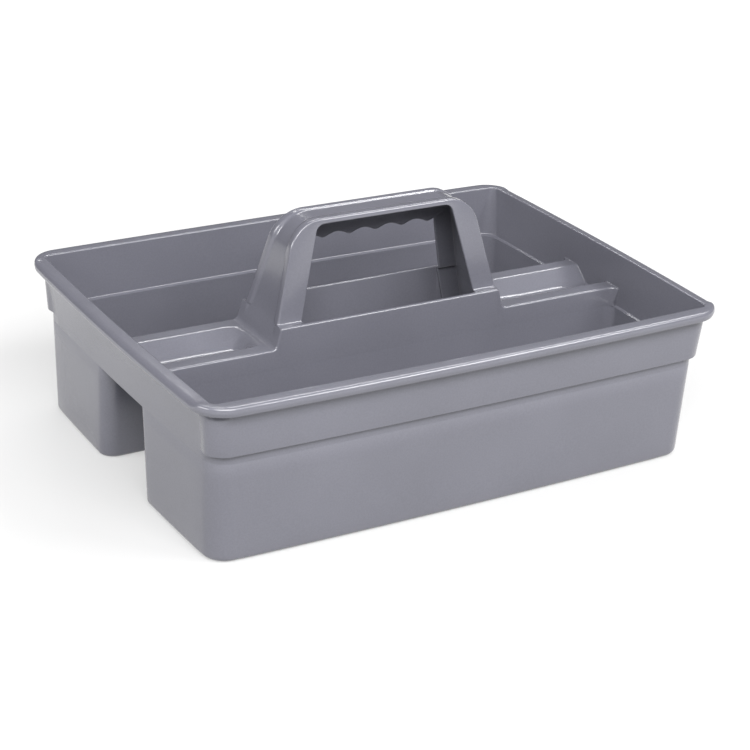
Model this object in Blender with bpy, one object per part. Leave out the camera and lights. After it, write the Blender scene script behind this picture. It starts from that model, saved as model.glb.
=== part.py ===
"""Cleaning caddy: two deep bins joined by a raised centre with two shallow trays and an arched carrying handle.

The real caddy is one plastic moulding. Here it is divided, along its natural lines, into sections that keep a
0.3 mm gap to each other. Metres, +Z up, +X along the length, the origin at the centre of the footprint.
"""

import math

import bmesh
import bpy

# Plan of the rim, measured at its corners. The sides bow outwards between them.
RIM_HALF_LENGTH = 0.2010
RIM_HALF_WIDTH = 0.1440
RIM_RADIUS = 0.0225
WALL_RADIUS = 0.0160
SIDE_BOW = 0.0024
SIDE_BOW_REACH = 0.1830
END_BOW = 0.0022
END_BOW_REACH = 0.1240
RIM_SAG = 0.0010

# Heights.
RIM_TOP = 0.1150
STEP_HEIGHT = 0.0773
TUNNEL_HEIGHT = 0.0710
SHELF_HEIGHT = 0.0906
SADDLE_HEIGHT = 0.1051
HANDLE_TOP = 0.1720

# Walls, as distances inwards from the rim's outer edge. The long sides have a step outside, the ends are plain.
BAND_TOP_INSET = 0.0064
BAND_LOW_INSET = 0.0084
END_TOP_INSET = 0.0073
LOWER_WALL_INSET = 0.0112
BAND_INNER_TOP = 0.0109
BAND_INNER_LOW = 0.0116
END_INNER_TOP = 0.0102
END_INNER_LOW = 0.0122
LOWER_INNER_INSET = 0.0142
BASE_DRAFT_LENGTH = 0.0020
BASE_DRAFT_WIDTH = 0.0015
SKIN = 0.0025
FLOOR = 0.0030
BASE_EDGE_RADIUS = 0.0042
WALL_THINNING = 0.0010
STEP_BELOW = 0.0003
STEP_ABOVE = 0.0006
BULB_RADIUS = 0.0030
COVE_RADIUS = 0.0040
RIM_INNER_RADIUS = 0.0020
GAP = 0.0003

# The tunnel between the bins, and the dividers above its sides.
DIVIDER_FACE = 0.0300
DIVIDER_DRAFT = 0.0410
TUNNEL_HALF_TOP = 0.0268
TUNNEL_HALF_BASE = 0.0311
NOTCH_RADIUS = 0.0100
SMALLEST_CORNER = 0.0050
SHELF_EDGE = 0.0178
TRAY_FLOOR_HEIGHT = 0.0802
TRAY_FLOOR_HALF = 0.0045
TRAY_FLOOR_CHAMFER = 0.0022
TRAY_EDGE_DROP = 0.0020
END_FILLET = 0.0020
DIVIDER_FILLET = 0.0040
WALL_SPLIT = 0.1100

# The handle: an arched channel whose faces lean inwards. Its feet fill the pocket between the dividers.
POCKET_HALF = 0.0266
HANDLE_FACE_FOOT = 0.0238
HANDLE_FRONT_LEAN = 0.1790
HANDLE_REAR_LEAN = 0.1270
LEG_OUTER_FOOT = 0.0877
LEG_INNER_FOOT = 0.0692
LEG_OUTER_LEAN = 0.2640
LEG_INNER_LEAN = 0.2560
HANDLE_CORNER_RADIUS = 0.0250
OPENING_TOP = 0.1682
OPENING_RADIUS = 0.0065
GRIP_HALF = 0.0470
SCALLOP_LOW = 0.1460
SCALLOP_RISE = 0.0032
SCALLOP_PERIOD = 0.0212
SCALLOP_SOFTNESS = 0.30

CORNER_STEPS = 7
BLEND_STEPS = 2
LONG_STEPS = 10
END_STEPS = 6
ARC_STEPS = 8
EDGE_STEPS = 3
GRIP_STEPS = 44
SMOOTH_ANGLE = 32
GREY = (0.262, 0.270, 0.296)


def clear_scene():
    for item in list(bpy.data.objects):
        bpy.data.objects.remove(item, do_unlink=True)


def material(name):
    """Satin grey plastic."""
    made = bpy.data.materials.new(name)
    made.use_nodes = True
    shader = made.node_tree.nodes["Principled BSDF"]
    shader.inputs["Base Color"].default_value = (*GREY, 1.0)
    shader.inputs["Roughness"].default_value = 0.38
    shader.inputs["Metallic"].default_value = 0.0
    return made


def add_object(name, mesh_data):
    """A closed mesh becomes a named object with its own material, smooth on its round stretches."""
    bmesh.ops.remove_doubles(mesh_data, verts=mesh_data.verts[:], dist=1e-6)
    bmesh.ops.recalc_face_normals(mesh_data, faces=mesh_data.faces[:])
    mesh = bpy.data.meshes.new(name)
    mesh_data.to_mesh(mesh)
    mesh_data.free()
    mesh.shade_smooth()
    mesh.set_sharp_from_angle(angle=math.radians(SMOOTH_ANGLE))
    mesh.materials.append(material(name + "_plastic"))
    part = bpy.data.objects.new(name, mesh)
    bpy.context.scene.collection.objects.link(part)
    return part


def bridge(mesh_data, loops, closed_rows):
    """Skins a list of equally long vertex rows; each row is a ring when closed_rows is set."""
    for low, high in zip(loops, loops[1:]):
        count = len(low)
        for index in range(count if closed_rows else count - 1):
            after = (index + 1) % count
            mesh_data.faces.new((low[index], low[after], high[after], high[index]))


def loft(name, sections):
    """A solid through closed sections, capped at both ends."""
    mesh_data = bmesh.new()
    rings = [[mesh_data.verts.new(point) for point in section] for section in sections]
    bridge(mesh_data, rings, True)
    mesh_data.faces.new(rings[0])
    mesh_data.faces.new(rings[-1])
    return add_object(name, mesh_data)


def arc(centre, radius, start, end, steps):
    """Points of a circular arc, its ends included; angles in degrees."""
    angles = [math.radians(start + (end - start) * step / steps) for step in range(steps + 1)]
    return [(centre[0] + radius * math.cos(a), centre[1] + radius * math.sin(a)) for a in angles]


def between(start, end, steps):
    """The inner points of a straight run."""
    return [
        tuple(a + (b - a) * step / steps for a, b in zip(start, end)) for step in range(1, steps)
    ]


def bowed(x, y, front):
    """Pushes a point of the front side or of an end outwards, by the bow of that side."""
    side = SIDE_BOW * max(0.0, 1 - (x / SIDE_BOW_REACH) ** 2) if front else 0.0
    end = END_BOW * max(0.0, 1 - (y / END_BOW_REACH) ** 2)
    return x + math.copysign(end, x) * (not front), y - side


def front_path(inset, radius):
    """Front side with both corners, from the left end round to the right end, at a given inset."""
    a = RIM_HALF_LENGTH - inset
    b = RIM_HALF_WIDTH - inset
    left = arc((radius - a, radius - b), radius, 180, 270, CORNER_STEPS)
    right = arc((a - radius, radius - b), radius, 270, 360, CORNER_STEPS)
    front = [bowed(x, y, True) for x, y in between(left[-1], right[0], LONG_STEPS)]
    first = bowed(-a, -WALL_SPLIT - GAP / 2, False)
    last = bowed(a, -WALL_SPLIT - GAP / 2, False)
    return [first, *left, *front, *right, last]


def end_path(inset):
    """The end wall's run between the corner sections, at a given inset."""
    x = RIM_HALF_LENGTH - inset
    reach = WALL_SPLIT - GAP / 2
    heights = [reach * (2 * step / END_STEPS - 1) for step in range(END_STEPS + 1)]
    return [bowed(x, y, False) for y in heights]


def mix(start, end, share):
    return start + (end - start) * share


def wall_profile(share):
    """(inset, height, corner radius) up the outside, over the rolled rim and down the inside.

    share is 1 along a long side, 0 at an end and between in a corner.
    """
    foot = TUNNEL_HEIGHT + GAP
    cove_height = RIM_TOP - 2 * BULB_RADIUS - COVE_RADIUS
    top_inset = mix(END_TOP_INSET, BAND_TOP_INSET, share)
    inner_top = mix(END_INNER_TOP, BAND_INNER_TOP, share)
    inner_low = mix(END_INNER_LOW, BAND_INNER_LOW, share)

    def outside(height, stepped):
        """Inset of the outer face at a height: the plain end's, or the stepped long side's."""
        plain = mix(LOWER_WALL_INSET, END_TOP_INSET, (height - foot) / (cove_height - foot))
        return mix(plain, stepped, share), height

    cove = arc((top_inset - COVE_RADIUS, cove_height), COVE_RADIUS, 30, 90, 2)
    bulb = arc((BULB_RADIUS, RIM_TOP - BULB_RADIUS), BULB_RADIUS, 270, 90, 6)
    inner_centre = (inner_top - RIM_INNER_RADIUS, RIM_TOP - RIM_INNER_RADIUS)
    inner_edge = arc(inner_centre, RIM_INNER_RADIUS, 90, 0, EDGE_STEPS)
    band = [
        (LOWER_WALL_INSET, foot),
        outside(STEP_HEIGHT - STEP_BELOW, LOWER_WALL_INSET),
        outside(STEP_HEIGHT + STEP_ABOVE, BAND_LOW_INSET),
        (top_inset, cove_height),
    ]
    inside = [
        *inner_edge,
        (inner_low, STEP_HEIGHT + STEP_ABOVE),
        (LOWER_INNER_INSET, STEP_HEIGHT - STEP_BELOW),
        (LOWER_INNER_INSET, foot),
    ]
    return [
        *[(x, z, WALL_RADIUS) for x, z in band],
        *[(x, z, (WALL_RADIUS + RIM_RADIUS) / 2) for x, z in cove],
        *[(x, z, RIM_RADIUS) for x, z in bulb],
        *[(x, z, WALL_RADIUS - FLOOR) for x, z in inside],
    ]


def side_shares():
    """For each point of a front path, how far the wall has turned from the end's profile to the long side's."""
    turn = [min(1.0, step / BLEND_STEPS) for step in range(CORNER_STEPS + 1)]
    return [0.0, *turn, *[1.0] * (LONG_STEPS - 1), *reversed(turn), 0.0]


def sagged(x, y, z):
    """The rim's top dips a little between the corners of the long sides."""
    share = min(1.0, max(0.0, (z - STEP_HEIGHT) / (RIM_TOP - STEP_HEIGHT)))
    along = max(0.0, 1 - (x / SIDE_BOW_REACH) ** 2)
    return z - RIM_SAG * share * along


def long_wall(name, side):
    """Upper front or rear wall with its corners and rim; side is -1 in front and 1 at the rear."""
    sections = []
    for place, share in enumerate(side_shares()):
        section = []
        for inset, z, radius in wall_profile(share):
            x, y = front_path(inset, radius)[place]
            section.append((x, -side * y, sagged(x, y, z)))
        sections.append(section)
    return loft(name, sections)


def end_wall(name, side):
    """Upper end wall with its rim, bridging the tunnel."""
    columns = []
    for inset, z, _ in wall_profile(0.0):
        columns.append([(side * x, y, sagged(x, y, z)) for x, y in end_path(inset)])
    return loft(name, [list(section) for section in zip(*columns)])


def tunnel_half(z):
    return TUNNEL_HALF_BASE + (TUNNEL_HALF_TOP - TUNNEL_HALF_BASE) * z / TUNNEL_HEIGHT


def bin_ring(z, inset):
    """Plan ring of the front bin at a height, set in from its outer face all round."""
    draft = 1 - z / STEP_HEIGHT
    a = RIM_HALF_LENGTH - LOWER_WALL_INSET - BASE_DRAFT_LENGTH * draft - inset
    b = RIM_HALF_WIDTH - LOWER_WALL_INSET - BASE_DRAFT_WIDTH * draft - inset
    t = tunnel_half(z) + inset
    outer = max(WALL_RADIUS - inset, SMALLEST_CORNER)
    notch = NOTCH_RADIUS - inset / 2
    left = arc((outer - a, outer - b), outer, 180, 270, CORNER_STEPS)
    right = arc((a - outer, outer - b), outer, 270, 360, CORNER_STEPS)
    front = [bowed(x, y, True) for x, y in between(left[-1], right[0], LONG_STEPS)]
    right_end = between(right[-1], (a, -t - notch), END_STEPS)
    right_notch = arc((a - notch, -t - notch), notch, 0, 90, CORNER_STEPS)
    left_notch = arc((notch - a, -t - notch), notch, 90, 180, CORNER_STEPS)
    left_end = between((-a, -t - notch), left[0], END_STEPS)
    run = left[1:] + front + right[:-1]
    ends = [right[-1], *right_end, *right_notch, *left_notch, *left_end, left[0]]
    bent = []
    for x, y in ends:
        shift = END_BOW * max(0.0, 1 - (y / END_BOW_REACH) ** 2)
        share = max(0.0, abs(x) - (a - notch)) / notch
        bent.append((x + math.copysign(shift * share, x), y))
    return [(x, y, z) for x, y in run + bent]


def deep_bin(name, side):
    """Open-topped deep bin with rounded base edges."""
    angles = [math.radians(90 * step / EDGE_STEPS) for step in range(EDGE_STEPS + 1)]
    outer, inner = BASE_EDGE_RADIUS, BASE_EDGE_RADIUS - WALL_THINNING
    rings = [bin_ring(outer * (1 - math.sin(a)), outer * (1 - math.cos(a))) for a in reversed(angles)]
    rings.append(bin_ring(TUNNEL_HEIGHT, 0.0))
    rings.append(bin_ring(TUNNEL_HEIGHT, FLOOR))
    for a in angles:
        rings.append(bin_ring(FLOOR + inner * (1 - math.sin(a)), FLOOR + inner * (1 - math.cos(a))))
    placed = [[(x, -side * y, z) for x, y, z in ring] for ring in rings]
    return loft(name, placed)


def divider_face(z):
    """Bin-side face of a divider, as a distance from the middle."""
    return DIVIDER_FACE + DIVIDER_DRAFT * (SHELF_HEIGHT - z)


def leg_outer(z):
    """Outer side of a leg, as a distance from the middle."""
    return LEG_OUTER_FOOT + LEG_OUTER_LEAN * (SADDLE_HEIGHT - z)


def leg_inner(z):
    """Edge of the hand opening, as a distance from the middle."""
    return LEG_INNER_FOOT + LEG_INNER_LEAN * (SADDLE_HEIGHT - z)


def handle_face(z, lean):
    """Front or rear face of the handle, as a distance from the middle, no wider than the pocket."""
    return min(HANDLE_FACE_FOOT + lean * (SADDLE_HEIGHT - z), POCKET_HALF)


def divider_outline():
    """Right half of a divider seen from the front: low run with end fillet, slope, raised middle."""
    end = RIM_HALF_LENGTH + END_BOW - GAP
    low_end = end - LOWER_INNER_INSET
    high_end = end - END_INNER_LOW
    radius = DIVIDER_FILLET
    fillet = arc(
        (high_end - END_FILLET, SHELF_HEIGHT + END_FILLET), END_FILLET, 0, -90, 4
    )
    slope_foot = leg_outer(SHELF_HEIGHT)
    foot = arc((slope_foot + radius * 1.3, SHELF_HEIGHT + radius), radius, 270, 195, 4)
    crest_x = leg_outer(SADDLE_HEIGHT)
    crest = arc((crest_x - radius * 0.77, SADDLE_HEIGHT - radius), radius, 15, 90, 4)
    return [
        (low_end, TUNNEL_HEIGHT + GAP),
        (low_end, STEP_HEIGHT - STEP_BELOW),
        (high_end, STEP_HEIGHT + STEP_ABOVE + GAP),
        *fillet,
        *foot,
        *crest,
    ]


def divider(name, side):
    """Thin wall between a bin and the raised centre."""
    right = divider_outline()
    left = [(-x, z) for x, z in reversed(right)]
    outline = right + left
    outer = [(x, side * divider_face(z), z) for x, z in outline]
    inner = [(x, side * (divider_face(z) - SKIN), z) for x, z in outline]
    return loft(name, [outer, inner])


def tray_section():
    """Upper line of the tray across the caddy: shelf, sloping side, rounded floor, side, shelf."""
    edge = divider_face(SHELF_HEIGHT) - SKIN - GAP
    half = [
        (edge, SHELF_HEIGHT),
        (SHELF_EDGE + TRAY_EDGE_DROP, SHELF_HEIGHT),
        (SHELF_EDGE, SHELF_HEIGHT - TRAY_EDGE_DROP),
        (TRAY_FLOOR_HALF + TRAY_FLOOR_CHAMFER, TRAY_FLOOR_HEIGHT + TRAY_FLOOR_CHAMFER / 2),
        (TRAY_FLOOR_HALF, TRAY_FLOOR_HEIGHT),
    ]
    return half + [(-y, z) for y, z in reversed(half)]


def tray(name, side):
    """Shallow tray with a shelf along each side, between an end wall and a leg."""
    upper = tray_section()
    lower = [(y * 0.985, z - SKIN) for y, z in upper]
    lower[2] = (upper[2][0] + 0.0006, upper[1][1] - SKIN)
    lower[-3] = (-lower[2][0], lower[2][1])
    outline = upper + lower[::-1]
    far = RIM_HALF_LENGTH + END_BOW - END_INNER_LOW - 2 * GAP
    near = [(side * (leg_outer(z) + GAP), y, z) for y, z in outline]
    return loft(name, [near, [(side * far, y, z) for y, z in outline]])


def scallop(x):
    """Height of the finger grip's lower edge."""
    wave = abs(math.cos(math.pi * x / SCALLOP_PERIOD))
    soft = math.hypot(wave, SCALLOP_SOFTNESS) - SCALLOP_SOFTNESS
    return SCALLOP_LOW + SCALLOP_RISE * soft / (math.hypot(1, SCALLOP_SOFTNESS) - SCALLOP_SOFTNESS)


def channel_section(crown, under, front, rear, shoulder=0.0):
    """Eight corners of the handle's channel from its crown, underside and flange ends, each (x, z).

    shoulder widens the outside, for the ledge where a leg meets the dividers.
    """

    def flange(edge, lean, side):
        points = []
        for (x, z), inset in ((crown, 0.0), (edge, 0.0), (edge, SKIN), (under, SKIN)):
            half = max(handle_face(z, lean), 0.0 if inset else shoulder)
            points.append((x, side * (half - inset), z))
        return points

    return flange(rear, HANDLE_REAR_LEAN, 1) + flange(front, HANDLE_FRONT_LEAN, -1)[::-1]


def corner_curve(outer_x, top, radius, steps):
    """Arc of the leaning leg's line into the level bar, as distances from the middle."""
    lean = math.degrees(math.atan(LEG_OUTER_LEAN))
    reach = radius * math.tan(math.radians((90 - lean) / 2))
    centre = (outer_x(top) - reach, top - radius)
    return arc(centre, radius, lean, 90, steps)


def leg(name, side):
    """Leg of the handle with its upper corner: a channel open towards the middle of the caddy."""
    ledge = SADDLE_HEIGHT - SKIN
    widening = POCKET_HALF - HANDLE_FACE_FOOT

    def straight(z, shoulder=0.0):
        """Section of the leaning stretch at one height."""
        crown = (leg_outer(z), z)
        under = (leg_outer(z) - SKIN, z)
        edge = (leg_inner(z), z)
        return channel_section(crown, under, edge, edge, shoulder)

    crown = corner_curve(leg_outer, HANDLE_TOP, HANDLE_CORNER_RADIUS, ARC_STEPS)
    under = corner_curve(
        lambda z: leg_outer(z) - SKIN, HANDLE_TOP - SKIN, HANDLE_CORNER_RADIUS - SKIN, ARC_STEPS
    )
    start = crown[0][1]
    opening = corner_curve(leg_inner, OPENING_TOP, OPENING_RADIUS, ARC_STEPS - 3)
    rise = [(leg_inner(z), z) for z in (start, (start + opening[0][1]) / 2)]
    front = [*rise, *opening, (GRIP_HALF + GAP / 2, OPENING_TOP)]
    rear_start = leg_inner(SCALLOP_LOW)
    rear_end = GRIP_HALF + GAP / 2
    rear = []
    for step in range(ARC_STEPS + 1):
        x = rear_start + (rear_end - rear_start) * step / ARC_STEPS
        rear.append((x, scallop(x)))
    sections = [
        straight(TUNNEL_HEIGHT + GAP),
        straight(SADDLE_HEIGHT - widening / HANDLE_REAR_LEAN),
        straight(SADDLE_HEIGHT - widening / HANDLE_FRONT_LEAN),
        straight(ledge),
        straight(ledge, POCKET_HALF),
        straight(SADDLE_HEIGHT, POCKET_HALF),
        straight(SADDLE_HEIGHT),
        straight(SCALLOP_LOW - SKIN),
    ]
    last = len(crown) - 1
    for index in range(last):
        sections.append(channel_section(crown[index], under[index], front[index], rear[index]))
    end = GRIP_HALF + GAP / 2
    sections.append(
        channel_section((end, HANDLE_TOP), (end, HANDLE_TOP - SKIN), (end, OPENING_TOP), rear[last])
    )
    placed = [[(side * x, y, z) for x, y, z in section] for section in sections]
    return loft(name, placed)


def grip(name):
    """Level bar of the handle, its rear flange scalloped for the fingers."""
    half = GRIP_HALF - GAP / 2
    sections = []
    for step in range(GRIP_STEPS + 1):
        x = half * (2 * step / GRIP_STEPS - 1)
        edge = (x, OPENING_TOP)
        sections.append(
            channel_section((x, HANDLE_TOP), (x, HANDLE_TOP - SKIN), edge, (x, scallop(x)))
        )
    return loft(name, sections)


clear_scene()
for label, direction in (("front", -1), ("rear", 1)):
    deep_bin(label + "_bin", direction)
    long_wall(label + "_wall", direction)
    divider(label + "_divider", direction)
for label, direction in (("left", -1), ("right", 1)):
    end_wall(label + "_end_wall", direction)
    tray(label + "_tray", direction)
    leg("handle_" + label + "_leg", direction)
grip("handle_grip")
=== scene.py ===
import math

import bmesh
import bpy
from mathutils import Matrix, Vector


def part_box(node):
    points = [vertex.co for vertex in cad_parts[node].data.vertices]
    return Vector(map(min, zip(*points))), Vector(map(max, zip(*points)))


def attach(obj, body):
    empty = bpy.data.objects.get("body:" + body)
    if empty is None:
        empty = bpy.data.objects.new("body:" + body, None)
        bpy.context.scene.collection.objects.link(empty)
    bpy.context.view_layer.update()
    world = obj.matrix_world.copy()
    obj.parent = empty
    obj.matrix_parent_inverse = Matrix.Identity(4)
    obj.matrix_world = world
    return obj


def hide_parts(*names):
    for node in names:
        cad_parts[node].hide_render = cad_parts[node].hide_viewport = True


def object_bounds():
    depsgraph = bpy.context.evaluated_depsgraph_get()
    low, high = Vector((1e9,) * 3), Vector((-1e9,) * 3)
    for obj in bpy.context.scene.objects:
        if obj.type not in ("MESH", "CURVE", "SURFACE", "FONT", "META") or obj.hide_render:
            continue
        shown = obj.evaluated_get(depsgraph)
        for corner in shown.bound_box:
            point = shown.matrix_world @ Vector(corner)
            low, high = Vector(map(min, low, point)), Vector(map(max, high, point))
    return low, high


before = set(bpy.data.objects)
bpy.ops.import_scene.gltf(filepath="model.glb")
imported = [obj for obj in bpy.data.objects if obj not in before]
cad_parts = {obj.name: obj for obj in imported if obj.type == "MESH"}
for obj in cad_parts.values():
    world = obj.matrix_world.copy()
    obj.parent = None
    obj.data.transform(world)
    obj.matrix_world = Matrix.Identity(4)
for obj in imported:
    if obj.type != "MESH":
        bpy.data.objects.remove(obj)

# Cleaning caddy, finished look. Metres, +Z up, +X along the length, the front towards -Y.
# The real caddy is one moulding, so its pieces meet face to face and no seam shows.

cad_low, cad_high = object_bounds()

# Rim and walls. Sides bow outwards by a little, fading out at their reach, and the long sides' rims dip.
# An inset is measured inwards from the rim's outer edge.
END_BOW = 0.0022
END_BOW_REACH = 0.1240
SIDE_BOW = 0.0024
SIDE_BOW_REACH = 0.1830
RIM_SAG = 0.0003
RIM_HALF_LENGTH = cad_high.x - END_BOW
RIM_HALF_WIDTH = cad_high.y - SIDE_BOW
RIM_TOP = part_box("left_end_wall")[1].z
RIM_RADIUS = 0.0225
WALL_CORNER = 0.0160
INNER_CORNER = 0.0125
INNER_CORNER_TOP = 0.0040
STEP_HEIGHT = 0.0773
TUNNEL_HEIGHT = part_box("front_bin")[1].z
LEDGE_HEIGHT = 0.0771
LEDGE_DROP = 0.0008
LOWER_INSET = 0.0112
LOWER_INNER = 0.0142
BASE_DRAFT_LENGTH = 0.0020
BASE_DRAFT_WIDTH = 0.0015
FLOOR = 0.0030
BASE_EDGE = 0.0042
BASE_EDGE_INSIDE = BASE_EDGE + 0.0008
BASE_CORNER_DRAW = 0.9
BASE_NOTCH_DRAW = 0.6
WALL_SPLIT = 0.1100
BAND_LOW = 0.0084
# A long side has a crisp step outside and a crisp lower edge under the rim; an end is plain, with a soft
# edge. "upper" lists the corners from the cove under the rim to its crest, each as an inset, a drop from
# the top and a radius.
LONG_SIDE = {
    "plain": False,
    "inner_top": 0.0109,
    "inner_low": 0.0116,
    "upper": [
        (0.0064, 0.0061, 0.0036),
        (0.0007, 0.0066, 0.0007),
        (0.0000, 0.0038, 0.0050),
        (0.0003, 0.0, 0.0026),
        (0.0060, 0.0, 0.0),
    ],
}
END_SIDE = {
    "plain": True,
    "inner_top": 0.0102,
    "inner_low": 0.0122,
    "upper": [
        (0.0073, 0.0105, 0.0055),
        (0.0003, 0.0068, 0.0024),
        (0.0000, 0.0040, 0.0030),
        (0.0019, 0.0009, 0.0050),
        (0.0088, 0.0, 0.0),
    ],
}
CORNER_GROWTH_START = 0.0120
CORNER_GROWTH_RUN = 0.0045
PLAIN_START = 0.31
STEP_RISE = 0.0003
STEP_OUTER_RADIUS = 0.0005
STEP_INNER_RADIUS = 0.0002
INNER_EDGE = 0.0010
BAND_SHARES = (0.3, 0.6, 0.8)

# Centre: tunnel, dividers and trays.
SHELF_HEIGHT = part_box("left_tray")[1].z
SADDLE_HEIGHT = 0.1051
DIVIDER_FACE = 0.0300
DIVIDER_DRAFT = 0.0410
DIVIDER_INNER = 0.0266
TUNNEL_TOP_HALF = 0.0268
TUNNEL_BASE_HALF = 0.0311
NOTCH_RADIUS = 0.0100
TRAY_EDGE = 0.0183
TRAY_FLOOR = 0.0802
TRAY_FLOOR_HALF = 0.0050
TRAY_FLOOR_RADIUS = 0.0080
TRAY_EDGE_RADIUS = 0.0045
TRAY_STATIONS = (0.160, 0.130)
TROUGH_START = 0.0015
TROUGH_RUN = 0.0120
UNDERSIDE_SHIFT = 0.0012
END_FILLET = 0.0008
CORNER_FLARE = 0.0065
FLARE_SHARES = (0.42, 0.55, 0.70, 0.85, 1.0)
SHELF_STATIONS = (0.160, 0.130, 0.110)
SADDLE_STATIONS = (0.080, 0.0715, 0.0700, 0.0685, 0.050, 0.025, 0.0)
SADDLE_CREST = 0.0016
RISE_SHARES = (0.35, 0.70)
FREE_EDGE_END = 0.0712
FREE_EDGE_RUN = 0.0024
FREE_EDGE_RADIUS = 0.0008
FREE_EDGE_DRAFT = 0.0012
EDGE_RADIUS = 0.0015
FOOT_FILLET = 0.0035
SKIN = 0.0025

# How finely the pieces are divided.
MERGE_DISTANCE = 2e-6
SHARP_ANGLE = 40
CORNER_STEPS = 14
SIDE_BLEND_STEPS = 4
FRONT_STEPS = 28
END_STEPS = 8
MOUTH_STEPS = 10
NOTCH_STEPS = 10
TUNNEL_STEPS = 12
WALL_STEPS = 6
TROUGH_STEPS = 10
ARC_STEPS = 6
SMALL_ARC_STEPS = 3
FLANGE_ARC_STEPS = 4
CROWN_ARC_STEPS = 5
END_FILLET_STEPS = 8
LEG_STEPS = 8
HANDLE_CORNER_STEPS = 16
OPENING_RISE_STEPS = 4
GRIP_STEPS = 96

# Handle.
HANDLE_TOP = cad_high.z
HANDLE_FACE_FOOT = 0.0238
HANDLE_FRONT_LEAN = 0.1790
HANDLE_REAR_LEAN = 0.1270
LEG_OUTER_FOOT = 0.0877
LEG_OUTER_LEAN = 0.2640
LEG_INNER_FOOT = 0.0692
LEG_INNER_LEAN = 0.2560
HANDLE_CORNER = 0.0250
OPENING_TOP = 0.1682
OPENING_CORNER = 0.0065
GRIP_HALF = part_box("handle_grip")[1].x + 0.00015
SCALLOP_LOW = 0.1460
SCALLOP_RISE = 0.0032
SCALLOP_PERIOD = 0.0212
SCALLOP_SOFTNESS = 0.30
RIDGE_WIDTH = 0.0048
RIDGE_RADIUS = 0.0015
RIDGE_SLOPE = 0.0030
RIDGE_START = 0.0945
RIDGE_RUN = 0.0160
LEG_RECESS = 0.0016
CORNER_RECESS = 0.0006
GRIP_RECESS = 0.0008
BLOCK_WALL = 0.0030
LEG_WALL = 0.0040
GRIP_WALL = 0.0027
CROWN_SHARES = (0.0, 0.5, 0.85)
SQUARE_EDGE = 0.00005
CROWN_EDGE = 0.0008
CROWN_MARGIN = 0.0002
FLANGE_NOSE = 0.0008
HOLLOW_FILLET = 0.0006
LEG_FOOT_FILLET = 0.0014
BLOCK_MIDDLE = 0.0850
LEG_BLOCK_HEIGHTS = (0.0955, 0.0980, 0.1005, 0.1030)
CORNER_MARGIN = 0.0015

# Colours.
DARK_GREY = (0.096, 0.096, 0.115)
LIGHT_GREY = (0.106, 0.106, 0.127)
SCUFF_GREY = (0.26, 0.265, 0.30, 1)

# Camera, solved from the photo's straight edges.
CAMERA_LENS = 96.25
CAMERA_PLACE = (-0.68319, -1.10728, 0.63766)
CAMERA_RIGHT = (0.8598, -0.5081, 0.0502)
CAMERA_BACK = (-0.4806, -0.7721, 0.4159)


# ---------------------------------------------------------------- outlines

def arc(centre, radius, start, end, steps):
    """Points of a circular arc, its ends included; angles in degrees."""
    angles = [math.radians(start + (end - start) * step / steps) for step in range(steps + 1)]
    return [(centre[0] + radius * math.cos(a), centre[1] + radius * math.sin(a)) for a in angles]


def rounded(corners, steps):
    """A 2-D line through (x, y, radius) corners, each turned into an arc of that radius."""
    points = []
    for index, (x, y, radius) in enumerate(corners):
        if radius <= 0 or index in (0, len(corners) - 1):
            points.append((x, y))
            continue
        here = Vector((x, y))
        back = (Vector(corners[index - 1][:2]) - here).normalized()
        ahead = (Vector(corners[index + 1][:2]) - here).normalized()
        half = back.angle(ahead) / 2
        reach = radius / math.tan(half)
        centre = here + (back + ahead).normalized() * radius / math.sin(half)
        first, last = here + back * reach - centre, here + ahead * reach - centre
        turn = first.angle_signed(last)
        for step in range(steps + 1):
            share = turn * step / steps
            cos, sin = math.cos(-share), math.sin(-share)
            points.append((
                centre.x + first.x * cos - first.y * sin,
                centre.y + first.x * sin + first.y * cos,
            ))
    return points


def spread(start, end, steps):
    """Evenly spaced values, both ends included."""
    return [start + (end - start) * step / steps for step in range(steps + 1)]


def quarter(start, end, steps):
    """(sine, cosine) at evenly spaced angles in degrees, both ends included."""
    angles = [math.radians(angle) for angle in spread(start, end, steps)]
    return [(math.sin(angle), math.cos(angle)) for angle in angles]


def smooth(value):
    """An even ease from 0 to 1."""
    share = min(1.0, max(0.0, value))
    return share * share * (3 - 2 * share)


def mix(a, b, share):
    """From a to b by a share."""
    return a + (b - a) * share


# ---------------------------------------------------------------- meshes

def make_piece(name, verts, polygons, nodes):
    """A closed mesh becomes a piece that rides on the body and stands for its CAD nodes."""
    work = bmesh.new()
    made = [work.verts.new(v) for v in verts]
    for polygon in polygons:
        work.faces.new([made[i] for i in polygon])
    bmesh.ops.remove_doubles(work, verts=work.verts[:], dist=MERGE_DISTANCE)
    bmesh.ops.dissolve_degenerate(work, edges=work.edges[:], dist=MERGE_DISTANCE / 2)
    bmesh.ops.recalc_face_normals(work, faces=work.faces[:])
    mesh = bpy.data.meshes.new(name)
    work.to_mesh(mesh)
    work.free()
    mesh.shade_smooth()
    mesh.set_sharp_from_angle(angle=math.radians(SHARP_ANGLE))
    mesh.materials.append(plastic)
    piece = bpy.data.objects.new(name, mesh)
    bpy.context.scene.collection.objects.link(piece)
    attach(piece, "root")
    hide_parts(*nodes)


def loft(name, sections, nodes):
    """A solid through closed sections of equally many points, capped at both ends."""
    count = len(sections[0])
    verts = [point for section in sections for point in section]
    polygons = []
    for row in range(len(sections) - 1):
        low, high = row * count, (row + 1) * count
        for i in range(count):
            j = (i + 1) % count
            polygons.append((low + i, low + j, high + j, high + i))
    polygons.append(tuple(range(count)))
    polygons.append(tuple(range(len(verts) - count, len(verts))))
    make_piece(name, verts, polygons, nodes)


def transposed(columns):
    """Columns of points turned into closed sections."""
    return [list(section) for section in zip(*columns)]


# ---------------------------------------------------------------- material

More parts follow.
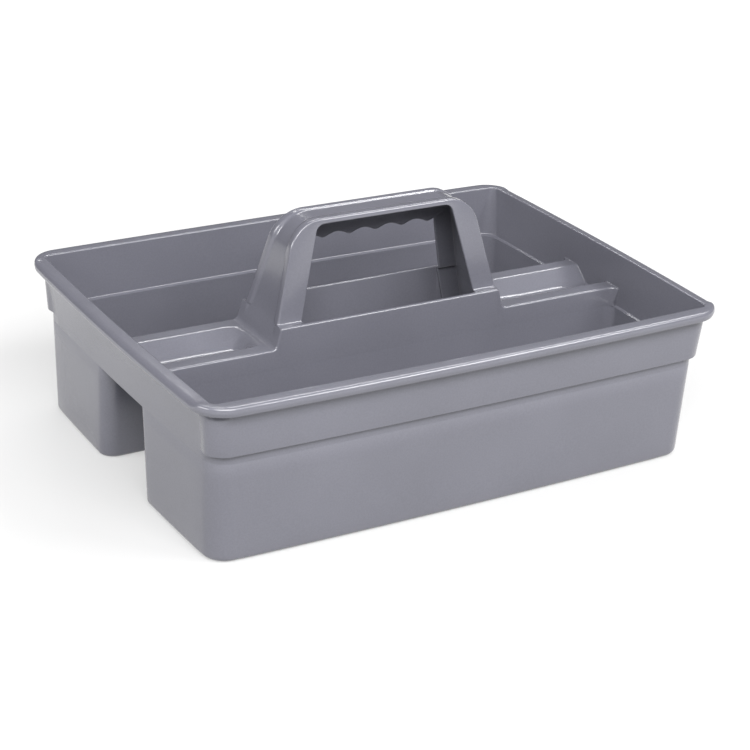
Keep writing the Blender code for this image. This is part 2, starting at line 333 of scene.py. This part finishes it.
def node(tree, kind, links=(), **values):
    """Adds a shader node, sets its properties and input values, and links sources to its inputs."""
    made = tree.nodes.new(kind)
    for key, value in values.items():
        if key.startswith("in_"):
            made.inputs[int(key[3:])].default_value = value
        else:
            setattr(made, key, value)
    for source, target in links:
        tree.links.new(source, made.inputs[target])
    return made


def ramp(tree, source, stops):
    """A colour ramp over (position, colour) stops; a single number is a grey."""
    made = node(tree, "ShaderNodeValToRGB", [(source, 0)])
    elements = made.color_ramp.elements
    while len(elements) < len(stops):
        elements.new(0.5)
    for element, (place, colour) in zip(elements, stops):
        element.position = place
        element.color = (*colour, 1) if isinstance(colour, tuple) else (colour, colour, colour, 1)
    return made.outputs[0]


def noise(tree, place, scale, detail):
    """A noise texture's value at a place."""
    return node(tree, "ShaderNodeTexNoise", [(place, 0)], in_2=scale, in_3=detail).outputs[0]


def bump(tree, links, strength, distance):
    """A bump's normal; the links carry the height and, for a second bump, the normal before it."""
    made = node(tree, "ShaderNodeBump", links)
    made.inputs["Strength"].default_value = strength
    made.inputs["Distance"].default_value = distance
    return made.outputs[0]


def grey_plastic():
    """Satin plastic: faint cloudy colour, fine moulded grain, and light scuffs that leave worn edges paler
    and rougher.
    """
    made = bpy.data.materials.new("grey_plastic")
    made.use_nodes = True
    tree = made.node_tree
    shader = tree.nodes["Principled BSDF"]
    place = tree.nodes.new("ShaderNodeTexCoord").outputs["Object"]

    cloud = noise(tree, place, 14.0, 4.0)
    speck = noise(tree, place, 900.0, 2.0)
    body = ramp(tree, cloud, [(0.30, DARK_GREY), (0.72, LIGHT_GREY)])
    fleck = ramp(tree, speck, [(0.35, 0.96), (0.65, 1.03)])
    tinted = node(tree, "ShaderNodeMix", data_type="RGBA", blend_type="MULTIPLY", in_0=1.0)
    tree.links.new(body, tinted.inputs[6])
    tree.links.new(fleck, tinted.inputs[7])

    height = node(tree, "ShaderNodeSeparateXYZ", [(place, 0)]).outputs[2]
    level = node(tree, "ShaderNodeMath", [(height, 0)], operation="DIVIDE", in_1=HANDLE_TOP).outputs[0]
    rim_level = RIM_TOP / HANDLE_TOP
    edge = ramp(tree, level, [
        (0.0, 1.0), (0.03, 0.0), (rim_level - 0.015, 0.0), (rim_level, 0.5), (rim_level + 0.004, 0.0),
        (0.975, 0.0), (1.0, 0.5),
    ])
    patch = noise(tree, place, 45.0, 4.0)
    spots = ramp(tree, patch, [(0.45, 0.0), (0.90, 1.0)])
    worn = node(tree, "ShaderNodeMath", [(edge, 0), (spots, 1)], operation="MULTIPLY").outputs[0]
    wear = node(tree, "ShaderNodeMath", [(worn, 0)], operation="MULTIPLY", in_1=0.10).outputs[0]
    sources = [(wear, 0), (tinted.outputs[2], 6)]
    finish = node(tree, "ShaderNodeMix", sources, data_type="RGBA", in_7=SCUFF_GREY)
    tree.links.new(finish.outputs[2], shader.inputs["Base Color"])

    stretch = node(tree, "ShaderNodeMapping", [(place, 0)], in_3=(1.0, 1.0, 0.12)).outputs[0]
    drag = noise(tree, stretch, 260.0, 3.0)
    sheen = node(tree, "ShaderNodeMath", [(cloud, 0), (drag, 1)], operation="ADD").outputs[0]
    satin = ramp(tree, sheen, [(0.30, 0.17), (0.80, 0.23)])
    rough = node(tree, "ShaderNodeMath", [(worn, 0), (satin, 2)], operation="MULTIPLY_ADD", in_1=0.08)
    tree.links.new(rough.outputs[0], shader.inputs["Roughness"])

    grain = noise(tree, place, 1600.0, 3.0)
    fine = bump(tree, [(grain, "Height")], 0.10, 0.00012)
    wave = noise(tree, place, 22.0, 1.0)
    broad = bump(tree, [(wave, "Height"), (fine, "Normal")], 0.06, 0.004)
    tree.links.new(broad, shader.inputs["Normal"])
    shader.inputs["Specular IOR Level"].default_value = 0.50
    shader.inputs["Coat Weight"].default_value = 0.35
    shader.inputs["Coat Roughness"].default_value = 0.12
    return made


def floor_material():
    """Floor with painted light: it glows, less near the caddy as painted shade round its foot and more
    further off, like a lit backdrop.
    """
    made = bpy.data.materials.new("glowing_floor")
    made.use_nodes = True
    tree = made.node_tree
    shader = tree.nodes["Principled BSDF"]
    place = tree.nodes.new("ShaderNodeTexCoord").outputs["Object"]
    away = node(tree, "ShaderNodeVectorMath", [(place, 0)], operation="LENGTH").outputs["Value"]
    # painted light: the glow is weaker near the caddy, a painted shade around it, and stronger further away
    glow = node(tree, "ShaderNodeMapRange", [(away, 0)], in_1=0.30, in_2=1.10, in_3=0.45, in_4=0.95)
    tree.links.new(glow.outputs[0], shader.inputs["Emission Strength"])
    shader.inputs["Base Color"].default_value = (0.24, 0.24, 0.24, 1)
    shader.inputs["Roughness"].default_value = 0.90
    shader.inputs["Emission Color"].default_value = (1.0, 1.0, 1.0, 1)
    return made


plastic = grey_plastic()


# ---------------------------------------------------------------- rim and walls

def end_bow(y):
    """How far an end swells outwards at a place along it."""
    return END_BOW * max(0.0, 1 - (y / END_BOW_REACH) ** 2)


def bowed_front(x, y):
    """Pushes a point of the front side outwards."""
    return x, y - SIDE_BOW * max(0.0, 1 - (x / SIDE_BOW_REACH) ** 2)


def bowed_end(x, y):
    """Pushes a point of an end outwards."""
    return x + math.copysign(end_bow(y), x), y


def front_path(inset, radius):
    """Front side with both corners, from the left end round to the right end, at a given inset."""
    length = RIM_HALF_LENGTH - inset
    width = RIM_HALF_WIDTH - inset
    left = arc((radius - length, radius - width), radius, 180, 270, CORNER_STEPS)
    right = arc((length - radius, radius - width), radius, 270, 360, CORNER_STEPS)
    run = spread(left[-1][0], right[0][0], FRONT_STEPS)[1:-1]
    front = [bowed_front(x, -width) for x in run]
    ends = [bowed_end(side * length, -WALL_SPLIT) for side in (-1, 1)]
    return [ends[0], *left, *front, *right, ends[1]]


def side_shares():
    """For each point of a front path, how far the profile has turned from the end's into the long side's."""
    turn = [smooth(step / SIDE_BLEND_STEPS) for step in range(CORNER_STEPS + 1)]
    return [0.0, *turn, *[1.0] * (FRONT_STEPS - 1), *reversed(turn), 0.0]


def end_path(inset):
    """Right end between the corners, from front to rear, at a given inset."""
    x = RIM_HALF_LENGTH - inset
    mouth = TUNNEL_TOP_HALF + NOTCH_RADIUS
    near = spread(-WALL_SPLIT, -mouth, END_STEPS)
    middle = spread(-mouth, mouth, MOUTH_STEPS)[1:-1]
    return [bowed_end(x, y) for y in near + middle + [-y for y in reversed(near)]]


def sagged(x, z):
    """The rim's top dips a little between the corners of the long sides."""
    share = min(1.0, max(0.0, (z - STEP_HEIGHT) / (RIM_TOP - STEP_HEIGHT)))
    along = max(0.0, 1 - (x / SIDE_BOW_REACH) ** 2)
    return z - RIM_SAG * share * along


def plain_share(share):
    """Lean of the plain end face: gentle at the foot, more towards the rim."""
    return mix(share * share, share, PLAIN_START)


def band_profile(cove, plain):
    """(inset, height) up the outside, from the tunnel's roof over the step to the cove under the rim."""
    band = rounded([
        (LOWER_INSET, TUNNEL_HEIGHT, 0),
        (LOWER_INSET, STEP_HEIGHT - STEP_RISE, STEP_INNER_RADIUS),
        (BAND_LOW, STEP_HEIGHT, STEP_OUTER_RADIUS),
        (*cove, 0),
    ], ARC_STEPS)[:-1]
    for share in BAND_SHARES:
        band.append((mix(BAND_LOW, cove[0], share), mix(STEP_HEIGHT, cove[1], share)))
    if plain:
        height = cove[1] - TUNNEL_HEIGHT
        shares = [plain_share((z - TUNNEL_HEIGHT) / height) for _, z in band]
        band = [(mix(LOWER_INSET, cove[0], share), z) for share, (_, z) in zip(shares, band)]
    return band


def outer_corner(inset, z, side):
    """Plan radius of a corner's outside: wide at the rim's edge, tighter over its crest."""
    widest = RIM_TOP - side["upper"][2][1]
    if z > widest:
        return mix(RIM_RADIUS, INNER_CORNER_TOP, inset / side["inner_top"])
    growth = smooth((z - RIM_TOP + CORNER_GROWTH_START) / CORNER_GROWTH_RUN)
    return mix(WALL_CORNER, RIM_RADIUS, growth)


def inner_corner(z):
    """Plan radius of a corner's inside: tighter towards the rim."""
    share = max(0.0, (z - LEDGE_HEIGHT) / (RIM_TOP - LEDGE_HEIGHT))
    return mix(INNER_CORNER, INNER_CORNER_TOP, share)


def wall_profile(side):
    """(inset, height, plan radius) of a side's section: up the outside, over the rim, down the inside."""
    upper = [(inset, RIM_TOP - drop, radius) for inset, drop, radius in side["upper"]]
    band = band_profile(upper[0][:2], side["plain"])
    over = rounded([(*band[-1], 0), *upper], ARC_STEPS)[1:]
    inside = rounded([
        upper[-1],
        (side["inner_top"], RIM_TOP, INNER_EDGE),
        (side["inner_low"], LEDGE_HEIGHT, INNER_EDGE),
        (LOWER_INNER, LEDGE_HEIGHT - LEDGE_DROP, 0),
        (LOWER_INNER, TUNNEL_HEIGHT, 0),
    ], ARC_STEPS)[1:]
    outer = [(inset, z, outer_corner(inset, z, side)) for inset, z in band + over]
    return outer + [(inset, z, inner_corner(z)) for inset, z in inside]


def long_wall(name, side):
    """Upper front or rear wall with its corners; side is -1 in front and 1 at the rear."""
    columns = []
    shares = side_shares()
    for soft, crisp in zip(wall_profile(END_SIDE), wall_profile(LONG_SIDE)):
        soft_path, crisp_path = front_path(soft[0], soft[2]), front_path(crisp[0], crisp[2])
        column = []
        for (soft_x, soft_y), (crisp_x, crisp_y), share in zip(soft_path, crisp_path, shares):
            x, y = mix(soft_x, crisp_x, share), mix(soft_y, crisp_y, share)
            column.append((x, -side * y, sagged(x, mix(soft[1], crisp[1], share))))
        columns.append(column)
    loft(name + "_wall_finished", transposed(columns), [name + "_wall"])


def end_wall(name, side):
    """Upper end wall with its rim, running over the tunnel's mouth."""
    columns = []
    for inset, z, _ in wall_profile(END_SIDE):
        columns.append([(side * x, y, sagged(x, z)) for x, y in end_path(inset)])
    loft(name + "_end_wall_finished", transposed(columns), [name + "_end_wall"])


# ---------------------------------------------------------------- deep bins

def tunnel_half(z):
    """Side of the tunnel, as a distance from the middle."""
    return mix(TUNNEL_BASE_HALF, TUNNEL_TOP_HALF, z / TUNNEL_HEIGHT)


def divider_face(z):
    """Bin-side face of a divider, as a distance from the middle."""
    return DIVIDER_FACE + DIVIDER_DRAFT * (SHELF_HEIGHT - z)


def bin_ring(z, length, width, tunnel, outer, notch):
    """Plan ring of the front bin at a height: half length, half width, tunnel side, two corner radii."""
    left = arc((outer - length, outer - width), outer, 180, 270, CORNER_STEPS)
    right = arc((length - outer, outer - width), outer, 270, 360, CORNER_STEPS)
    front = [bowed_front(x, -width) for x in spread(left[-1][0], right[0][0], FRONT_STEPS)[1:-1]]
    side_run = spread(-WALL_SPLIT, -tunnel - notch, END_STEPS)[:-1]
    right_notch = arc((length - notch, -tunnel - notch), notch, 0, 90, NOTCH_STEPS)
    left_notch = arc((notch - length, -tunnel - notch), notch, 90, 180, NOTCH_STEPS)
    rest = [(length, y) for y in side_run] + right_notch
    rest += [(x, -tunnel) for x in spread(length - notch, notch - length, TUNNEL_STEPS)[1:-1]]
    rest += left_notch + [(-length, y) for y in reversed(side_run)]
    bent = []
    for x, y in rest:
        share = max(0.0, abs(x) - (length - notch)) / notch
        bent.append((x + math.copysign(end_bow(y) * share, x), y))
    return [(x, y, z) for x, y in left + front + right + bent]


def outer_ring(z, shrink):
    """Outside of a bin at a height; shrink draws it in for the rounded base edge."""
    draft = 1 - z / TUNNEL_HEIGHT
    length = RIM_HALF_LENGTH - LOWER_INSET - BASE_DRAFT_LENGTH * draft - shrink
    width = RIM_HALF_WIDTH - LOWER_INSET - BASE_DRAFT_WIDTH * draft - shrink
    corner = WALL_CORNER - shrink * BASE_CORNER_DRAW
    notch = NOTCH_RADIUS - shrink * BASE_NOTCH_DRAW
    return bin_ring(z, length, width, tunnel_half(z) + shrink, corner, notch)


def inner_ring(z, shrink):
    """Inside of a bin at a height; shrink draws it in for the rounded edge of its floor."""
    draft = 1 - z / TUNNEL_HEIGHT
    length = RIM_HALF_LENGTH - LOWER_INNER - BASE_DRAFT_LENGTH * draft - shrink
    width = RIM_HALF_WIDTH - LOWER_INNER - BASE_DRAFT_WIDTH * draft - shrink
    return bin_ring(z, length, width, divider_face(z) + shrink, INNER_CORNER, CORNER_FLARE)


def deep_bin(name, side):
    """Open-topped deep bin with rounded base edges."""
    rings = []
    for sine, cosine in quarter(90, 0, ARC_STEPS):
        rings.append(outer_ring(BASE_EDGE * (1 - sine), BASE_EDGE * (1 - cosine)))
    for z in spread(BASE_EDGE, TUNNEL_HEIGHT, WALL_STEPS)[1:]:
        rings.append(outer_ring(z, 0.0))
    ledge = LEDGE_HEIGHT - LEDGE_DROP
    for z in spread(ledge, FLOOR + BASE_EDGE_INSIDE, WALL_STEPS):
        rings.append(inner_ring(z, 0.0))
    for sine, cosine in quarter(0, 90, ARC_STEPS)[1:]:
        rings.append(inner_ring(FLOOR + BASE_EDGE_INSIDE * (1 - sine), BASE_EDGE_INSIDE * (1 - cosine)))
    placed = [[(x, -side * y, z) for x, y, z in ring] for ring in rings]
    loft(name + "_bin_finished", placed, [name + "_bin"])


# ---------------------------------------------------------------- centre outline

def wall_inner_x(y, z):
    """Inner face of an end wall, as a distance from the middle."""
    share = (z - LEDGE_HEIGHT) / (RIM_TOP - LEDGE_HEIGHT)
    inset = mix(END_SIDE["inner_low"], END_SIDE["inner_top"], share)
    return RIM_HALF_LENGTH - inset + end_bow(y)


def leg_outer(z):
    """Outer face of a leg, as a distance from the middle."""
    return LEG_OUTER_FOOT + LEG_OUTER_LEAN * (SADDLE_HEIGHT - z)


def leg_inner(z):
    """Edge of a leg towards the hand opening, as a distance from the middle."""
    return LEG_INNER_FOOT + LEG_INNER_LEAN * (SADDLE_HEIGHT - z)


def faces(grow=0.0):
    """Distances of the handle's rear and front faces from the middle, as functions of the height."""
    def face(lean):
        """One face, leaning inwards by that much per metre of height."""
        return lambda z: HANDLE_FACE_FOOT + lean * (SADDLE_HEIGHT - z) + grow

    return face(HANDLE_REAR_LEAN), face(HANDLE_FRONT_LEAN)


LEAN = math.atan(LEG_OUTER_LEAN)
FILLET_REACH = FOOT_FILLET * math.tan((math.pi / 2 - LEAN) / 2)
FOOT_TOP = SHELF_HEIGHT + FILLET_REACH * math.cos(LEAN)


def foot_fillet():
    """(x, z) from the shelf up onto the leaning plane of a leg, in the right half."""
    corner = leg_outer(SHELF_HEIGHT)
    return rounded([
        (corner + 2 * FILLET_REACH, SHELF_HEIGHT, 0),
        (corner, SHELF_HEIGHT, FOOT_FILLET),
        (leg_outer(SADDLE_HEIGHT), SADDLE_HEIGHT, 0),
    ], ARC_STEPS)[1:-1]


# ---------------------------------------------------------------- trays

def tray_half():
    """(y, z) from the middle of the tray out to the divider."""
    return rounded([
        (0.0, TRAY_FLOOR, 0),
        (TRAY_FLOOR_HALF, TRAY_FLOOR, TRAY_FLOOR_RADIUS),
        (TRAY_EDGE, SHELF_HEIGHT, TRAY_EDGE_RADIUS),
        (DIVIDER_INNER, SHELF_HEIGHT, 0),
    ], ARC_STEPS)


def underside(x, y, z):
    """The underside's point below a point of a tray; below the leg's foot it leans with the leg."""
    shift = UNDERSIDE_SHIFT if z > SHELF_HEIGHT + END_FILLET else 0.0
    return x + shift, y, z - SKIN


def tray(name, side):
    """Shallow tray with a shelf along each side, blended into the end wall and the leg."""
    half = tray_half()
    across = [(-y, z) for y, z in reversed(half)] + half[1:]
    trough_near = leg_outer(SHELF_HEIGHT) + FILLET_REACH + TROUGH_START
    trough_far = trough_near + TROUGH_RUN
    stations = []
    for sine, cosine in quarter(90, 0, END_FILLET_STEPS):
        row = []
        for y, z in across:
            top = z + END_FILLET * (1 - cosine)
            x = wall_inner_x(y, top) - END_FILLET * (1 - sine)
            row.append((x, y, top))
        stations.append(row)
    for x in [*TRAY_STATIONS, *spread(trough_far, trough_near, TROUGH_STEPS)]:
        share = smooth((x - trough_near) / (trough_far - trough_near))
        stations.append([(x, y, mix(SHELF_HEIGHT, z, share)) for y, z in across])
    for x, z in foot_fillet():
        stations.append([(x, y, z) for y, _ in across])
    rings = [row + [underside(*point) for point in reversed(row)] for row in stations]
    placed = [[(side * x, y, z) for x, y, z in ring] for ring in rings]
    loft(name + "_tray_finished", placed, [name + "_tray"])


# ---------------------------------------------------------------- dividers

def divider_outline():
    """Right half of a divider's top line as (x, z, inward x, inward z)."""
    points = []
    for sine, cosine in quarter(90, 0, END_FILLET_STEPS):
        top = SHELF_HEIGHT + END_FILLET * (1 - cosine)
        x = wall_inner_x(DIVIDER_FACE, top) - END_FILLET * (1 - sine)
        points.append((x, top, sine, -cosine))
    flare_end = wall_inner_x(DIVIDER_FACE, SHELF_HEIGHT)
    flare_run = [flare_end - CORNER_FLARE * share for share in FLARE_SHARES]
    for x in (*flare_run, *SHELF_STATIONS):
        points.append((x, SHELF_HEIGHT, 0.0, -1.0))
    fillet = foot_fillet()
    for index, (x, z) in enumerate(fillet):
        turn = (math.pi / 2 - LEAN) * index / (len(fillet) - 1)
        points.append((x, z, -math.sin(turn), -math.cos(turn)))
    reach = SADDLE_CREST * math.tan((math.pi / 2 - LEAN) / 2)
    for share in RISE_SHARES:
        z = mix(FOOT_TOP, SADDLE_HEIGHT - reach * math.cos(LEAN), share)
        points.append((leg_outer(z), z, -math.cos(LEAN), -math.sin(LEAN)))
    centre = (leg_outer(SADDLE_HEIGHT) - reach, SADDLE_HEIGHT - SADDLE_CREST)
    for angle in spread(LEAN, math.pi / 2, ARC_STEPS):
        cosine, sine = math.cos(angle), math.sin(angle)
        points.append((centre[0] + SADDLE_CREST * cosine, centre[1] + SADDLE_CREST * sine, -cosine, -sine))
    for x in SADDLE_STATIONS:
        points.append((x, SADDLE_HEIGHT, 0.0, -1.0))
    return points


def flare(x, y):
    """How far a divider's face swings out to meet the end wall."""
    past = min(CORNER_FLARE, max(0.0, x - (wall_inner_x(y, SHELF_HEIGHT) - CORNER_FLARE)))
    return CORNER_FLARE - math.sqrt(CORNER_FLARE ** 2 - past ** 2)


def divider_section(x, z, inward_x, inward_z):
    """Closed section (y outwards) of a divider: inner foot, inner edge, top, rounded edge, face, foot.

    Between the legs the inner edge is free, so it is rounded and its face leans.
    """
    on_saddle = z > SADDLE_HEIGHT - 1e-6
    free = smooth((FREE_EDGE_END - x) / FREE_EDGE_RUN) * on_saddle
    soft = FREE_EDGE_RADIUS * free
    section = [(x, DIVIDER_INNER + FREE_EDGE_DRAFT * free, TUNNEL_HEIGHT)]
    for sine, cosine in quarter(0, 90, SMALL_ARC_STEPS):
        section.append((x, DIVIDER_INNER + soft * (1 - cosine), z - soft * (1 - sine)))
    for sine, cosine in quarter(90, 0, ARC_STEPS):
        depth = EDGE_RADIUS * (1 - sine)
        px, pz = x + inward_x * depth, z + inward_z * depth
        y = divider_face(pz) - EDGE_RADIUS * (1 - cosine)
        section.append((px, y + flare(px, y), pz))
    foot_x = min(section[-1][0], RIM_HALF_LENGTH - LOWER_INNER + END_BOW)
    foot = divider_face(LEDGE_HEIGHT)
    ledge_x = min(section[-1][0], wall_inner_x(foot, LEDGE_HEIGHT))
    section.append((ledge_x, foot + flare(ledge_x, foot), LEDGE_HEIGHT))
    section.append((foot_x, foot + flare(foot_x, foot), LEDGE_HEIGHT - LEDGE_DROP))
    section.append((foot_x, foot, TUNNEL_HEIGHT))
    return section


def divider(name, side):
    """Thin wall between a bin and the raised centre."""
    right = [divider_section(*point) for point in divider_outline()]
    left = [[(-x, y, z) for x, y, z in section] for section in reversed(right[:-1])]
    placed = [[(x, side * y, z) for x, y, z in section] for section in right + left]
    loft(name + "_divider_finished", placed, [name + "_divider"])


# ---------------------------------------------------------------- handle

def scallop(x):
    """Height of the finger grip's lower edge."""
    wave = abs(math.cos(math.pi * x / SCALLOP_PERIOD))
    soft = math.hypot(wave, SCALLOP_SOFTNESS) - SCALLOP_SOFTNESS
    return SCALLOP_LOW + SCALLOP_RISE * soft / (math.hypot(1, SCALLOP_SOFTNESS) - SCALLOP_SOFTNESS)


def channel_half(crown, inward, wall, recess, edge, half, square):
    """Half a channel section, from the middle of the crown round the flange to the middle of the inside.

    crown and edge are (x, z), inward is the unit direction into the channel, half(z) the half width.
    """
    cx, cz = crown
    run = math.hypot(edge[0] - cx, edge[1] - cz)
    along = ((edge[0] - cx) / run, (edge[1] - cz) / run)
    soft = SQUARE_EDGE if square else RIDGE_RADIUS

    def sunk(depth, y):
        """A point below the crown."""
        return cx + inward[0] * depth, y, cz + inward[1] * depth

    def on_flange(depth, inset):
        """A point at a depth along the flange, set in from its outer face."""
        z = cz + along[1] * depth
        return cx + along[0] * depth, half(z) - inset, z

    floor_edge = half(cz) - RIDGE_WIDTH - RIDGE_SLOPE
    points = [sunk(recess, floor_edge * share) for share in CROWN_SHARES]
    for share in spread(0, 1, ARC_STEPS):
        points.append(sunk(recess * (1 - smooth(share)), floor_edge + RIDGE_SLOPE * share))
    points.append(on_flange(0.0, max(soft, CROWN_EDGE) + CROWN_MARGIN))
    for sine, cosine in quarter(90, 0, CROWN_ARC_STEPS):
        points.append(on_flange(soft * (1 - sine), soft * (1 - cosine)))
    for sine, cosine in quarter(0, 90, FLANGE_ARC_STEPS):
        points.append(on_flange(run - FLANGE_NOSE * (1 - sine), FLANGE_NOSE * (1 - cosine)))
    for sine, cosine in quarter(90, 0, FLANGE_ARC_STEPS):
        points.append(on_flange(run - FLANGE_NOSE * (1 - sine), SKIN - FLANGE_NOSE * (1 - cosine)))
    for sine, cosine in quarter(0, 90, SMALL_ARC_STEPS):
        points.append(on_flange(wall + HOLLOW_FILLET * (1 - sine), SKIN + HOLLOW_FILLET * (1 - cosine)))
    points.append(sunk(wall, 0.0))
    return points


def channel(crown, inward, wall, recess, front, rear, halves, square=False):
    """Closed channel section: rear half, then the front half back."""
    back = channel_half(crown, inward, wall, recess, rear, halves[0], square)
    fore = channel_half(crown, inward, wall, recess, front, halves[1], square)
    return back + [(x, -y, z) for x, y, z in reversed(fore[1:-1])]


def corner_curve(outer_x, top, radius, steps):
    """Arc of the leaning leg's line into the level bar, as distances from the middle."""
    reach = radius * math.tan((math.pi / 2 - LEAN) / 2)
    return arc((outer_x(top) - reach, top - radius), radius, math.degrees(LEAN), 90, steps)


def leg_section(z, halves, square=False):
    """Level section of a leg; its crown is flush at the foot and recessed further up."""
    share = smooth((z - RIDGE_START) / RIDGE_RUN)
    crown, edge = (leg_outer(z), z), (leg_inner(z), z)
    wall = mix(BLOCK_WALL, LEG_WALL, share)
    return channel(crown, (-1.0, 0.0), wall, LEG_RECESS * share, edge, edge, halves, square)


def grip_section(x):
    """Upright section of the level bar."""
    crown, front, rear = (x, HANDLE_TOP), (x, OPENING_TOP), (x, scallop(x))
    return channel(crown, (0.0, -1.0), GRIP_WALL, GRIP_RECESS, front, rear, faces())


def corner_sections():
    """Sections that turn from the leaning leg into the level bar."""
    crowns = corner_curve(leg_outer, HANDLE_TOP, HANDLE_CORNER, HANDLE_CORNER_STEPS)
    opening_steps = HANDLE_CORNER_STEPS - OPENING_RISE_STEPS - 1
    opening = corner_curve(leg_inner, OPENING_TOP, OPENING_CORNER, opening_steps)
    heights = spread(crowns[0][1], opening[0][1], OPENING_RISE_STEPS)[:-1]
    front = [*[(leg_inner(z), z) for z in heights], *opening, (GRIP_HALF, OPENING_TOP)]
    sections = []
    for index, crown in enumerate(crowns):
        share = index / HANDLE_CORNER_STEPS
        angle = mix(LEAN, math.pi / 2, share)
        x = mix(leg_inner(SCALLOP_LOW), GRIP_HALF, share)
        swell = math.sin(math.pi * min(1.0, share * 1.5))
        recess = LEG_RECESS + CORNER_RECESS * swell - GRIP_RECESS * smooth(share)
        wall = mix(LEG_WALL, GRIP_WALL, smooth(share))
        inward = (-math.cos(angle), -math.sin(angle))
        sections.append(channel(crown, inward, wall, recess, front[index], (x, scallop(x)), faces()))
    return sections


def leg(name, side):
    """Leg of the handle with its upper corner: a channel open towards the middle of the caddy.

    Below the saddle the leg is a square block that fills the gap between the dividers.
    """
    def block(_):
        """The block is as wide at every height."""
        return DIVIDER_INNER

    heights = (TUNNEL_HEIGHT, BLOCK_MIDDLE, FOOT_TOP, *LEG_BLOCK_HEIGHTS, SADDLE_HEIGHT)
    sections = [leg_section(z, (block, block), True) for z in heights]
    for sine, cosine in quarter(0, 90, CROWN_ARC_STEPS):
        z = SADDLE_HEIGHT + LEG_FOOT_FILLET * (1 - cosine)
        sections.append(leg_section(z, faces(LEG_FOOT_FILLET * (1 - sine))))
    for z in spread(SADDLE_HEIGHT + LEG_FOOT_FILLET, SCALLOP_LOW - CORNER_MARGIN, LEG_STEPS)[1:]:
        sections.append(leg_section(z, faces()))
    sections += corner_sections()
    sections.append(grip_section(GRIP_HALF))
    placed = [[(side * x, y, z) for x, y, z in section] for section in sections]
    loft("handle_" + name + "_leg_finished", placed, ["handle_" + name + "_leg"])


def grip():
    """Level bar of the handle, its rear flange scalloped for the fingers."""
    sections = [grip_section(x) for x in spread(-GRIP_HALF, GRIP_HALF, GRIP_STEPS)]
    loft("handle_grip_finished", sections, ["handle_grip"])


for label, direction in (("front", -1), ("rear", 1)):
    deep_bin(label, direction)
    long_wall(label, direction)
    divider(label, direction)
for label, direction in (("left", -1), ("right", 1)):
    end_wall(label, direction)
    tray(label, direction)
    leg(label, direction)
grip()


# ---------------------------------------------------------------- stage, light and camera

def make_floor():
    """Wide floor just below the caddy's base."""
    bpy.ops.mesh.primitive_plane_add(size=12.0, location=(0, 0, -0.0002))
    floor = bpy.context.object
    floor.name = "floor"
    floor.data.materials.append(floor_material())


def area_light(name, place, target, size, power):
    """A softbox at a place, aimed at a target; size is its width and height, power in watts."""
    data = bpy.data.lights.new(name, "AREA")
    data.shape = "RECTANGLE"
    data.size, data.size_y = size
    data.energy = power
    lamp = bpy.data.objects.new(name, data)
    bpy.context.scene.collection.objects.link(lamp)
    lamp.location = place
    lamp.rotation_mode = "QUATERNION"
    lamp.rotation_quaternion = (Vector(target) - Vector(place)).to_track_quat("-Z", "Y")


def make_world():
    """Dim studio light, brighter from the front than from behind."""
    world = bpy.data.worlds.new("studio")
    world.use_nodes = True
    tree = world.node_tree
    back = tree.nodes["Background"]
    way = tree.nodes.new("ShaderNodeTexCoord").outputs["Generated"]
    depth = node(tree, "ShaderNodeSeparateXYZ", [(way, 0)]).outputs[1]
    share = node(tree, "ShaderNodeMapRange", [(depth, 0)], in_1=-1.0, in_2=1.0).outputs[0]
    tree.links.new(ramp(tree, share, [(0.10, 1.0), (0.90, 0.22)]), back.inputs[0])
    back.inputs[1].default_value = 0.42
    bpy.context.scene.world = world


def make_camera():
    """The photo's camera."""
    data = bpy.data.cameras.new("camera")
    data.lens = CAMERA_LENS
    data.sensor_width = 36.0
    camera = bpy.data.objects.new("camera", data)
    bpy.context.scene.collection.objects.link(camera)
    right = Vector(CAMERA_RIGHT).normalized()
    back = Vector(CAMERA_BACK).normalized()
    up = back.cross(right).normalized()
    right = up.cross(back).normalized()
    turned = Matrix((right, up, back)).transposed().to_4x4()
    turned.translation = CAMERA_PLACE
    camera.matrix_world = turned
    data.clip_start, data.clip_end = 0.05, 50.0
    bpy.context.scene.camera = camera


make_floor()
make_world()
area_light("front_softbox", (-0.50, -1.80, 1.90), (0, 0, 0.08), (2.4, 1.2), 132)
area_light("overhead_strip", (0.89, 0.85, 1.49), (0, 0, 0.10), (2.0, 0.14), 22)
area_light("edge_softbox", (0.96, -1.10, 1.44), (0, 0, 0.08), (0.8, 0.5), 25)
area_light("left_softbox", (-1.70, 0.00, 0.90), (0, 0, 0.07), (1.3, 0.5), 24)
make_camera()
bpy.context.scene.view_settings.view_transform = "Standard"
